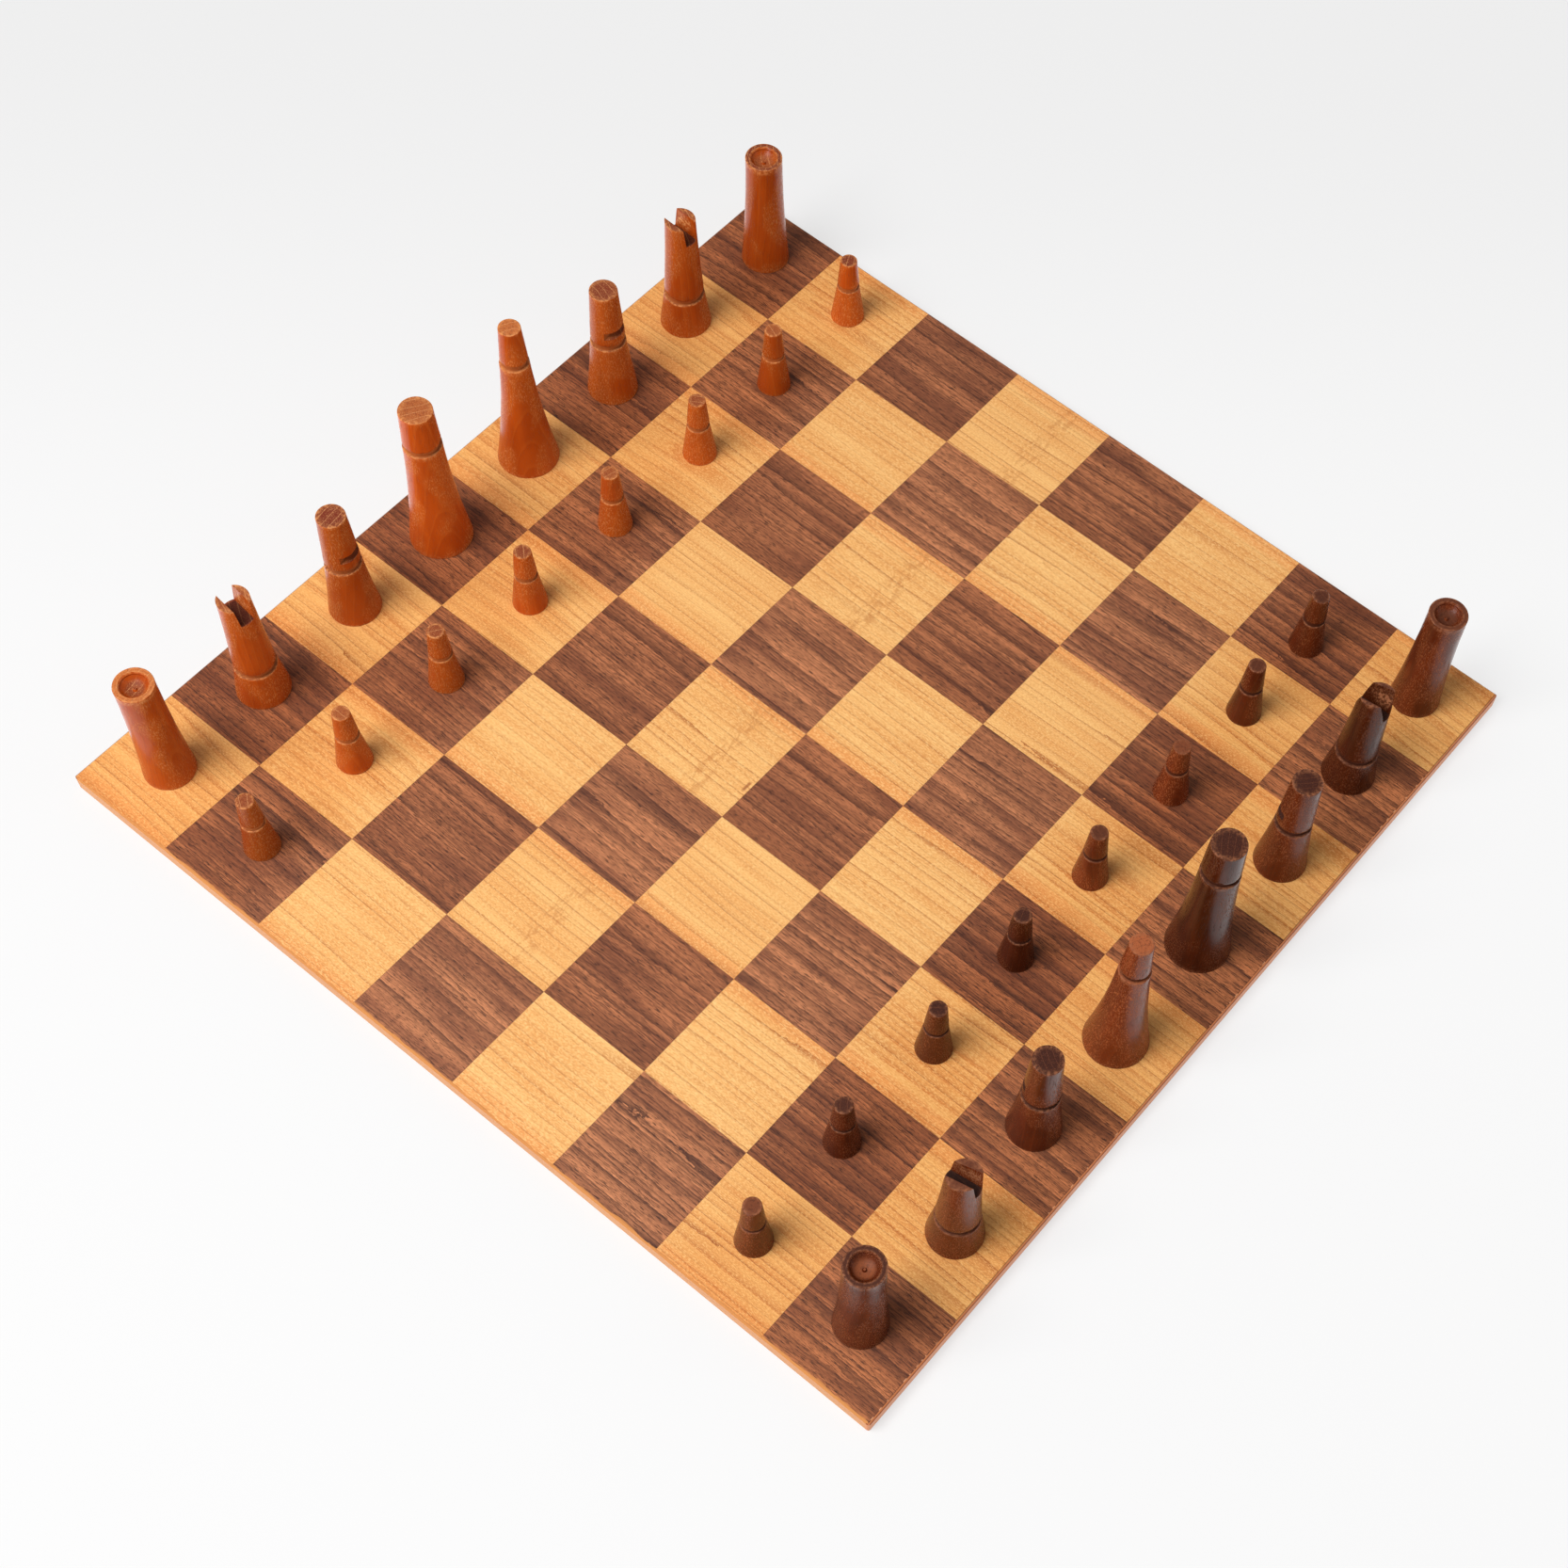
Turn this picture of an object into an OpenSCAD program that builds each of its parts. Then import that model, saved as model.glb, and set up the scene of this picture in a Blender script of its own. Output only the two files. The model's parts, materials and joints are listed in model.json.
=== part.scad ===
// A chess set: a thin veneered board with its turned wooden pieces set out for a game.
// Units are millimetres. X runs along the ranks, Y from the light side to the dark side, Z up.
// The origin is in the middle of the board's underside.

/* [Board] */
// Side of one square
square = 50; // [44:1:64]
// Thickness of the whole board
board_t = 7.5; // [5:0.5:20]
// Thickness of the face veneer
veneer_t = 0.4; // [0.3:0.1:1.2]
// Thickness of the wooden strip along each edge, under the veneer
band_t = 1.6; // [1.4:0.1:3]
// How far each edge is trimmed in from eight full squares
edge_trim = 0.5; // [0:0.1:2]
// Hairline joint between neighbouring squares
veneer_joint = 0.06; // [0.04:0.02:0.3]
// Radius of the board's four upright corners
corner_r = 1.2; // [0.4:0.1:1.4]
// Width of the eased edge round the top, cut through the veneer into the strips
top_edge_ease = 0.7; // [0.2:0.1:0.8]
// Width of the eased edge round the underside
under_edge_ease = 0.4; // [0.2:0.1:0.8]

/* [Turning] */
// Height of the parted groove that marks a piece
groove_h = 2.9; // [1.5:0.1:4]
// Depth of that groove below the wood above it
groove_depth = 1; // [0.4:0.1:1.8]
// Width of the eased edge round each top and foot
rim_ease = 0.3; // [0.1:0.1:0.6]

/* [King] */
// Height of a king
king_h = 76.3; // [66:0.5:100]
// Diameter across a king's foot
king_foot_d = 26; // [22:0.2:34]
// Diameter of a king just under its groove
king_waist_d = 15.6; // [13:0.2:19]
// Diameter of a king just over its groove
king_neck_d = 15.2; // [12:0.2:18]
// Diameter of a king's flat top
king_top_d = 13.7; // [9:0.1:17]
// Height of the lower lip of a king's groove
king_groove_z = 57; // [40:0.5:60]
// How far the lower side curves in from a straight taper
king_hollow = 0.9; // [0:0.1:2]

/* [Queen] */
// Height of a queen
queen_h = 76.5; // [66:0.5:100]
// Diameter across a queen's foot
queen_foot_d = 25.6; // [22:0.2:34]
// Diameter of a queen just under its groove
queen_waist_d = 12.2; // [10:0.2:16]
// Diameter of a queen just over its groove
queen_neck_d = 11.4; // [9:0.2:15]
// Diameter of a queen's flat top
queen_top_d = 9.1; // [6:0.1:13]
// Height of the lower lip of a queen's groove
queen_groove_z = 57; // [40:0.5:60]
// How far the lower side curves in from a straight taper
queen_hollow = 1; // [0:0.1:2]

/* [Bishop] */
// Height of a bishop
bishop_h = 57.5; // [52:0.5:76]
// Diameter across a bishop's foot
bishop_foot_d = 21.4; // [18:0.2:30]
// Diameter of a bishop just under its groove
bishop_waist_d = 14.9; // [13:0.1:17]
// Diameter of a bishop just over its groove
bishop_neck_d = 14.5; // [12:0.1:16]
// Diameter of a bishop's flat top
bishop_top_d = 11.7; // [9:0.1:15]
// Height of the lower lip of a bishop's groove
bishop_groove_z = 29.3; // [20:0.1:31]
// How far the lower side curves in from a straight taper
bishop_hollow = 0.2; // [0:0.1:1]
// Height of the lower lip of the saw cut in a bishop's front
notch_z = 36; // [34.5:0.5:42]
// Height of the saw cut itself
notch_h = 3.6; // [1.5:0.1:5]
// How deep the saw cut goes in from the front
notch_depth = 3.7; // [1.5:0.1:5]

/* [Knight] */
// Height of a light knight
light_knight_h = 58.5; // [52:0.5:76]
// Height of a dark knight on its axis
dark_knight_h = 54; // [48:0.5:70]
// Slant of a dark knight's top, down to the front
dark_knight_slant = 15; // [0:1:20]
// Diameter across a knight's foot
knight_foot_d = 21.9; // [18:0.2:30]
// Diameter of a knight just under its groove
knight_waist_d = 17.2; // [15.5:0.1:20]
// Diameter of a knight just over its groove
knight_neck_d = 16.7; // [15:0.1:18]
// Diameter of a knight's top
knight_top_d = 12.8; // [11.5:0.1:16]
// Height of the lower lip of a knight's groove
knight_groove_z = 17; // [12:0.1:22]
// How far the upper side curves in from a straight taper
knight_hollow = 0.2; // [0:0.1:1]
// Width of the slot in a light knight's top, at its mouth
light_slot_mouth_w = 7.2; // [5:0.1:8]
// Width of a light knight's slot at its floor
light_slot_floor_w = 5.8; // [3:0.1:6.5]
// Depth of a light knight's slot
light_slot_depth = 9.1; // [5:0.1:14]
// Width of the slot in a dark knight's top, at its mouth
dark_slot_mouth_w = 6.4; // [5:0.1:8]
// Width of a dark knight's slot at its floor
dark_slot_floor_w = 4.6; // [3:0.1:6.5]
// Depth of a dark knight's slot on its axis
dark_slot_depth = 8.4; // [5:0.1:14]
// Height of the dark knight on the b file, cut a little longer than the other
dark_knight_b_h = 55.5; // [48:0.5:70]
// Width of that knight's slot at its mouth, cut wider than the other
dark_knight_b_slot_mouth_w = 9.2; // [5:0.1:9.8]

/* [Rook] */
// Height of a rook
rook_h = 57.3; // [50:0.5:76]
// Diameter across a rook's foot
rook_foot_d = 20.8; // [18:0.2:30]
// Diameter of a rook's top
rook_top_d = 15.6; // [13.5:0.1:19]
// How far the side curves in from a straight taper
rook_hollow = 0.65; // [0:0.05:1]
// Diameter of the cup bored in a rook's top, across its lip
cup_d = 11.6; // [8:0.1:12.6]
// Width of the bevel on the cup's lip
cup_lip = 0.6; // [0.2:0.1:0.8]
// Depth of the cup at its wall
cup_wall = 1.1; // [0.8:0.1:3]
// Depth of the cup in its middle
cup_depth = 3.4; // [3.2:0.1:8]
// Diameter of the nub that the bit leaves in the cup
nub_d = 1.8; // [1:0.1:3]
// Height of that nub
nub_h = 0.7; // [0.3:0.1:1.2]

/* [Pawn] */
// Height of a pawn
pawn_h = 32.9; // [28:0.1:44]
// Diameter across a pawn's foot
pawn_foot_d = 14.5; // [12.6:0.1:20]
// Diameter of a pawn just under its groove
pawn_waist_d = 9.6; // [8:0.1:12]
// Diameter of a pawn just over its groove
pawn_neck_d = 9.3; // [7:0.1:11]
// Diameter of a pawn's flat top
pawn_top_d = 7.1; // [5:0.1:9]
// Height of the lower lip of a pawn's groove
pawn_groove_z = 18.1; // [12:0.1:21]
// Height of a pawn's groove
pawn_groove_h = 2.2; // [1.2:0.1:3.5]
// Depth of a pawn's groove
pawn_groove_depth = 0.5; // [0.3:0.1:1.2]

/* [Hidden] */
$fn = 96;
side_steps = 12;
past = 1;
files = 8;
light_teak = "#b05a24";
dark_teak = "#5e2c18";
walnut = "#7d4c36";
cherry = "#d69a5e";
edge_wood = "#cf9560";
core_wood = "#c9a87c";
core_t = board_t - veneer_t;
half_w = files / 2 * square - edge_trim;
face_w = half_w - band_t;
// Centre of a square's place along either axis, counted from the light side's left corner
function place(i) = (i - (files - 1) / 2) * square;

// How far the players set each piece off the centre of its square, by file
light_back_off = [
    [-1.5, 0.5], [-1.5, -1.5], [-3.5, 0], [-3.5, -1.5],
    [-0.5, 0], [-2.5, -1], [-1.5, 0], [-2, 0]
];
light_pawn_off = [
    [0, -1], [0, 0], [-1.5, 1], [-1, -0.5],
    [0, 0], [-1, 1], [-1, 0.5], [-1, 1.5]
];
dark_pawn_off = [
    [7.5, 0.5], [1, 0.5], [0.5, 0.5], [1.5, -0.5],
    [-2, -0.5], [-2, 0], [-1, -1.5], [-1.5, -1]
];
dark_back_off = [
    [-1, -1], [-3.5, -1], [-3, 1.5], [-2, -1],
    [0.5, -0.5], [-1.5, -2], [-0.5, 2], [-2.5, -2]
];
light_back = 0;
light_front = 1;
dark_front = files - 2;
dark_back = files - 1;

// How far the players turned the pieces that have a front, anticlockwise
light_knight_b_turn = -2;
light_bishop_c_turn = 5;
light_bishop_f_turn = 18;
light_knight_g_turn = -6;
dark_knight_b_turn = 0;
dark_bishop_c_turn = 12;
dark_bishop_f_turn = -1;
dark_knight_g_turn = 8;

// The board's outline with its rounded upright corners, in plan
module board_plan() {
    straight = half_w - corner_r;
    square([2 * half_w, 2 * straight], center = true);
    square([2 * straight, 2 * half_w], center = true);
    for (x = [-straight, straight], y = [-straight, straight])
        translate([x, y])
            circle(r = corner_r);
}

// One side view of the board, with its top and bottom edges eased
module board_side() {
    polygon([
        [-half_w + under_edge_ease, 0], [half_w - under_edge_ease, 0],
        [half_w, under_edge_ease], [half_w, board_t - top_edge_ease],
        [half_w - top_edge_ease, board_t], [-half_w + top_edge_ease, board_t],
        [-half_w, board_t - top_edge_ease], [-half_w, under_edge_ease]
    ]);
}

// The finished outer form that the strips and the veneer over them are planed to
module board_form() {
    intersection() {
        linear_extrude(board_t)
            board_plan();
        rotate([90, 0, 0])
            linear_extrude(2 * half_w + 2 * past, center = true)
                board_side();
        rotate([90, 0, 90])
            linear_extrude(2 * half_w + 2 * past, center = true)
                board_side();
    }
}

// The veneer squares of one colour, a hairline apart and planed with the board's eased edge
module veneer_squares(dark) {
    gap = veneer_joint / 2;
    intersection() {
        board_form();
        for (i = [0 : files - 1], j = [0 : files - 1])
            if ((i + j) % 2 == (dark ? 0 : 1)) {
                x0 = i == 0 ? -half_w - past : place(i) - square / 2 + gap;
                x1 = i == files - 1 ? half_w + past : place(i) + square / 2 - gap;
                y0 = j == 0 ? -half_w - past : place(j) - square / 2 + gap;
                y1 = j == files - 1 ? half_w + past : place(j) + square / 2 - gap;
                translate([x0, y0, core_t])
                    cube([x1 - x0, y1 - y0, veneer_t + past]);
            }
    }
}

// Strip across the light side's or the dark side's edge, full width of the board
module long_band(side) {
    intersection() {
        board_form();
        translate([-half_w - past, side > 0 ? face_w : -half_w - past, -past])
            cube([2 * half_w + 2 * past, band_t + past, core_t + past]);
    }
}

// Strip along a left or right edge, between the two long ones
module short_band(side) {
    intersection() {
        board_form();
        translate([side > 0 ? face_w : -half_w - past, -face_w, -past])
            cube([band_t + past, 2 * face_w, core_t + past]);
    }
}

// Half section of a stretch that tapers from r0 to r1, its side hollowed between its ends
module stretch(r0, r1, z0, z1, hollow) {
    steps = hollow > 0 ? side_steps : 1;
    side = [
        for (i = [0 : steps])
            let (t = i / steps)
                [r0 + (r1 - r0) * t - 4 * hollow * t * (1 - t), z0 + (z1 - z0) * t]
    ];
    polygon(concat([[0, z0]], side, [[0, z1]]));
}

// Half section cut away to ease the rim of a top at radius r and height z
module top_ease(r, z) {
    polygon([
        [r - rim_ease, z], [r + past, z - rim_ease - past],
        [r + past, z + past], [r - rim_ease, z + past]
    ]);
}

// Half section cut away to ease the rim of a foot at radius r
module foot_ease(r) {
    polygon([
        [r - rim_ease, 0], [r + past, rim_ease + past],
        [r + past, -past], [r - rim_ease, -past]
    ]);
}

// A turned body: a hollowed lower stretch, the groove, and an upper stretch to a flat top
module turned_body(h, foot_d, waist_d, neck_d, top_d, groove_z, gh, gd, low_hollow, up_hollow) {
    core_r = min(waist_d, neck_d) / 2 - gd;
    rotate_extrude()
        difference() {
            union() {
                stretch(foot_d / 2, waist_d / 2, 0, groove_z, low_hollow);
                translate([0, groove_z])
                    square([core_r, gh]);
                stretch(neck_d / 2, top_d / 2, groove_z + gh, h, up_hollow);
            }
            foot_ease(foot_d / 2);
            top_ease(top_d / 2, h);
        }
}

module king() {
    turned_body(king_h, king_foot_d, king_waist_d, king_neck_d, king_top_d,
        king_groove_z, groove_h, groove_depth, king_hollow, 0);
}

module queen() {
    turned_body(queen_h, queen_foot_d, queen_waist_d, queen_neck_d, queen_top_d,
        queen_groove_z, groove_h, groove_depth, queen_hollow, 0);
}

// A bishop has a level saw cut above the groove, open to its front
module bishop() {
    side_r = bishop_neck_d / 2 + (bishop_top_d - bishop_neck_d) / 2
        * (notch_z - bishop_groove_z - groove_h) / (bishop_h - bishop_groove_z - groove_h);
    difference() {
        turned_body(bishop_h, bishop_foot_d, bishop_waist_d, bishop_neck_d, bishop_top_d,
            bishop_groove_z, groove_h, groove_depth, bishop_hollow, 0);
        translate([-bishop_foot_d, side_r - notch_depth, notch_z])
            cube([2 * bishop_foot_d, bishop_foot_d, notch_h]);
    }
}

// A knight has a tapering slot sawn across its top from back to front
module knight(h, slant, mouth_w, floor_w, depth) {
    reach = knight_foot_d;
    rise = knight_top_d / 2 * tan(slant) + past;
    widening = (mouth_w - floor_w) / depth * rise;
    difference() {
        turned_body(h + rise, knight_foot_d, knight_waist_d, knight_neck_d, knight_top_d,
            knight_groove_z, groove_h, groove_depth, 0, knight_hollow);
        // The slot
        rotate([90, 0, 0])
            linear_extrude(2 * reach, center = true)
                polygon([
                    [-floor_w / 2, h - depth], [floor_w / 2, h - depth],
                    [(mouth_w + widening) / 2, h + rise], [-(mouth_w + widening) / 2, h + rise]
                ]);
        // The top, level or slanting down to the front
        translate([0, 0, h])
            rotate([-slant, 0, 0])
                translate([-reach, -reach, 0])
                    cube([2 * reach, 2 * reach, reach]);
    }
}

module light_knight() {
    knight(light_knight_h, 0, light_slot_mouth_w, light_slot_floor_w, light_slot_depth);
}

module dark_knight(h, mouth_w) {
    knight(h, dark_knight_slant, mouth_w, dark_slot_floor_w, dark_slot_depth + h - dark_knight_h);
}

// A rook has a dished cup with a bevelled lip in its top, and the nub that the bit left
module rook() {
    cup_r = cup_d / 2 - cup_lip;
    dish = cup_depth - cup_wall;
    dish_r = (cup_r * cup_r + dish * dish) / (2 * dish);
    floor_z = rook_h - cup_depth;
    difference() {
        rotate_extrude()
            difference() {
                stretch(rook_foot_d / 2, rook_top_d / 2, 0, rook_h, rook_hollow);
                foot_ease(rook_foot_d / 2);
                top_ease(rook_top_d / 2, rook_h);
                polygon([
                    [0, rook_h - cup_lip], [cup_r, rook_h - cup_lip],
                    [cup_r + cup_lip + past, rook_h + past], [0, rook_h + past]
                ]);
            }
        intersection() {
            translate([0, 0, floor_z - past])
                cylinder(r = cup_r, h = cup_depth + 2 * past);
            translate([0, 0, floor_z + dish_r])
                sphere(r = dish_r);
        }
    }
    translate([0, 0, floor_z - past / 2])
        cylinder(d1 = nub_d, d2 = nub_d / 2, h = nub_h + past / 2);
}

module pawn() {
    turned_body(pawn_h, pawn_foot_d, pawn_waist_d, pawn_neck_d, pawn_top_d,
        pawn_groove_z, pawn_groove_h, pawn_groove_depth, 0, 0);
}

// Stands a piece on its square, turned as the players left it
module stand(file, rank, off, turn) {
    translate([place(file) + off[file][0], place(rank) + off[file][1], board_t])
        rotate([0, 0, turn])
            children();
}

module on_light_back(file, turn = 0) {
    color(light_teak)
        stand(file, light_back, light_back_off, turn)
            children();
}

module on_light_front(file) {
    color(light_teak)
        stand(file, light_front, light_pawn_off, 0)
            children();
}

// The dark pieces face the other way
module on_dark_front(file) {
    color(dark_teak)
        stand(file, dark_front, dark_pawn_off, 180)
            children();
}

module on_dark_back(file, turn = 0) {
    color(dark_teak)
        stand(file, dark_back, dark_back_off, 180 + turn)
            children();
}

// Panel that carries the veneers
module board_core() {
    color(core_wood)
        translate([-face_w, -face_w, 0])
            cube([2 * face_w, 2 * face_w, core_t]);
}

module walnut_squares() {
    color(walnut)
        veneer_squares(true);
}

module light_squares() {
    color(cherry)
        veneer_squares(false);
}

module near_edge_band() {
    color(edge_wood)
        long_band(-1);
}

module far_edge_band() {
    color(edge_wood)
        long_band(1);
}

module left_edge_band() {
    color(edge_wood)
        short_band(-1);
}

module right_edge_band() {
    color(edge_wood)
        short_band(1);
}

module light_rook_a() { on_light_back(0) rook(); }
module light_knight_b() { on_light_back(1, light_knight_b_turn) light_knight(); }
module light_bishop_c() { on_light_back(2, light_bishop_c_turn) bishop(); }
module light_queen_d() { on_light_back(3) queen(); }
module light_king_e() { on_light_back(4) king(); }
module light_bishop_f() { on_light_back(5, light_bishop_f_turn) bishop(); }
module light_knight_g() { on_light_back(6, light_knight_g_turn) light_knight(); }
module light_rook_h() { on_light_back(7) rook(); }
module light_pawn_a() { on_light_front(0) pawn(); }
module light_pawn_b() { on_light_front(1) pawn(); }
module light_pawn_c() { on_light_front(2) pawn(); }
module light_pawn_d() { on_light_front(3) pawn(); }
module light_pawn_e() { on_light_front(4) pawn(); }
module light_pawn_f() { on_light_front(5) pawn(); }
module light_pawn_g() { on_light_front(6) pawn(); }
module light_pawn_h() { on_light_front(7) pawn(); }

// The dark king stands on the d file and the dark queen on the e file
module dark_rook_a() { on_dark_back(0) rook(); }
module dark_knight_b() {
    on_dark_back(1, dark_knight_b_turn)
        dark_knight(dark_knight_b_h, dark_knight_b_slot_mouth_w);
}
module dark_bishop_c() { on_dark_back(2, dark_bishop_c_turn) bishop(); }
module dark_king_d() { on_dark_back(3) king(); }
module dark_queen_e() { on_dark_back(4) queen(); }
module dark_bishop_f() { on_dark_back(5, dark_bishop_f_turn) bishop(); }
module dark_knight_g() {
    on_dark_back(6, dark_knight_g_turn)
        dark_knight(dark_knight_h, dark_slot_mouth_w);
}
module dark_rook_h() { on_dark_back(7) rook(); }
module dark_pawn_a() { on_dark_front(0) pawn(); }
module dark_pawn_b() { on_dark_front(1) pawn(); }
module dark_pawn_c() { on_dark_front(2) pawn(); }
module dark_pawn_d() { on_dark_front(3) pawn(); }
module dark_pawn_e() { on_dark_front(4) pawn(); }
module dark_pawn_f() { on_dark_front(5) pawn(); }
module dark_pawn_g() { on_dark_front(6) pawn(); }
module dark_pawn_h() { on_dark_front(7) pawn(); }

board_core();
walnut_squares();
light_squares();
near_edge_band();
far_edge_band();
left_edge_band();
right_edge_band();
light_rook_a();
light_knight_b();
light_bishop_c();
light_queen_d();
light_king_e();
light_bishop_f();
light_knight_g();
light_rook_h();
light_pawn_a();
light_pawn_b();
light_pawn_c();
light_pawn_d();
light_pawn_e();
light_pawn_f();
light_pawn_g();
light_pawn_h();
dark_rook_a();
dark_knight_b();
dark_bishop_c();
dark_king_d();
dark_queen_e();
dark_bishop_f();
dark_knight_g();
dark_rook_h();
dark_pawn_a();
dark_pawn_b();
dark_pawn_c();
dark_pawn_d();
dark_pawn_e();
dark_pawn_f();
dark_pawn_g();
dark_pawn_h();
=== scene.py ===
# A chess set: a thin veneered board with its turned wooden pieces set out, seen from above one corner.
# The scene is in metres; the sizes of the board and of its pieces are in millimetres.
# X runs along the ranks, Y from the light side to the dark side, Z up.
import json
import math

import bpy
from mathutils import Matrix, Vector

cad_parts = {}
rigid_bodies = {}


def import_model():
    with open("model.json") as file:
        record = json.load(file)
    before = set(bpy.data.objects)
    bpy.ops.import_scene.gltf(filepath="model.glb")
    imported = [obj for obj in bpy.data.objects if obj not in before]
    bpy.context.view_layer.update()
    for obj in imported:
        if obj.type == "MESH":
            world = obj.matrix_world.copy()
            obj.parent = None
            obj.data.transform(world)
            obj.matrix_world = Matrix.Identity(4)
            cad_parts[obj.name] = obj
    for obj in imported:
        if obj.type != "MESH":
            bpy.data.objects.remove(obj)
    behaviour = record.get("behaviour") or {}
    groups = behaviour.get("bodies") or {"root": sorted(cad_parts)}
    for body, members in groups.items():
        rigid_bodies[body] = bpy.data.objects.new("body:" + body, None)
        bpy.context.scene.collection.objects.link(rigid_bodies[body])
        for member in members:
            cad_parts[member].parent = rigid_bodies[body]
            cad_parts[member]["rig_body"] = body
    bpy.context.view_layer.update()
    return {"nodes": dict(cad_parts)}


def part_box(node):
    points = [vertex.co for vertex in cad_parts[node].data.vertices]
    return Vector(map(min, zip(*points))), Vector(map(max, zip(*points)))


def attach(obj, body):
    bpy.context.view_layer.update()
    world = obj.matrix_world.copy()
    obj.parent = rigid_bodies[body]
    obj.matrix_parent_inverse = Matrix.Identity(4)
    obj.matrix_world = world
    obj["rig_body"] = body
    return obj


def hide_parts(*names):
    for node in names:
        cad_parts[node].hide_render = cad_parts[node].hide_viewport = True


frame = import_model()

# The board: a square, half its width and the height of its veneer's back, then its top in metres
MM = 0.001
SQUARE = 50
HALF_BOARD = 199.5
VENEER_BACK = 7.1
BOARD_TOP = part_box("light_squares")[1].z

# The camera: its eye, the way it looks, its upward direction, its lens and sensor, and its shift
EYE = (0.39295, 0.33250, 0.81940)
LOOK = Vector((-0.3691, -0.2347, -0.8993)).normalized()
UPWARD = Vector((-0.6835, -0.5870, 0.4338)).normalized()
LENS = 55.26
SENSOR = 36
SHIFT = (-0.1039, 0.148)

# Each kind of piece as it is turned: heights and diameters in millimetres
KINDS = {
    "king": {"Height": 76.3, "Foot": 26, "Waist": 15.6, "Neck": 15.2, "Top": 13.7,
             "Groove height": 57, "Low hollow": 0.9},
    "queen": {"Height": 76.5, "Foot": 25.6, "Waist": 12.2, "Neck": 11.4, "Top": 9.1,
              "Groove height": 57, "Low hollow": 1},
    "bishop": {"Height": 57.5, "Foot": 21.4, "Waist": 14.9, "Neck": 14.5, "Top": 11.7,
               "Groove height": 29.3, "Low hollow": 0.2,
               "Notch height": 36, "Notch opening": 3.6, "Notch depth": 3.7},
    "light_knight": {"Height": 58.5, "Foot": 21.9, "Waist": 17.2, "Neck": 16.7, "Top": 12.8,
                     "Groove height": 17, "High hollow": 0.2,
                     "Slot mouth": 7.2, "Slot floor": 5.8, "Slot depth": 9.1},
    "dark_knight": {"Height": 54, "Foot": 21.9, "Waist": 17.2, "Neck": 16.7, "Top": 12.8,
                    "Groove height": 17, "High hollow": 0.2,
                    "Slot mouth": 6.4, "Slot floor": 4.6, "Slot depth": 8.4, "Slant": 15},
    "rook": {"Height": 57.3, "Foot": 20.8, "Waist": 15.6, "Neck": 15.6, "Top": 15.6,
             "Groove height": 56.4, "Groove opening": 0.1, "Groove depth": 0, "Lip": 0,
             "Low hollow": 0.65, "Cup": 11.6, "Cup lip": 0.6, "Cup wall": 1.1, "Cup dish": 2.3,
             "Nub": 1.8, "Nub rise": 0.7},
    "pawn": {"Height": 32.9, "Foot": 14.5, "Waist": 9.6, "Neck": 9.3, "Top": 7.1,
             "Groove height": 18.1, "Groove opening": 2.2, "Groove depth": 0.5},
}

# What sets single pieces apart from the others of their kind
OWN_SIZES = {
    "dark_knight_b": {"Height": 55.5, "Slot mouth": 9.2, "Slot depth": 9.9},
    "light_rook_a": {"Cup tone": 0.4}, "light_rook_h": {"Cup tone": 0.25},
    "dark_rook_a": {"Cup tone": 0.2}, "dark_rook_h": {"Cup tone": 0.6},
}

# How far the players turned the pieces that have a front, in degrees
TURNS = {
    "light_knight_b": -2, "light_bishop_c": 5, "light_bishop_f": 18, "light_knight_g": -6,
    "dark_knight_b": 180, "dark_bishop_c": 192, "dark_bishop_f": 179, "dark_knight_g": 188,
}

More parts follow.
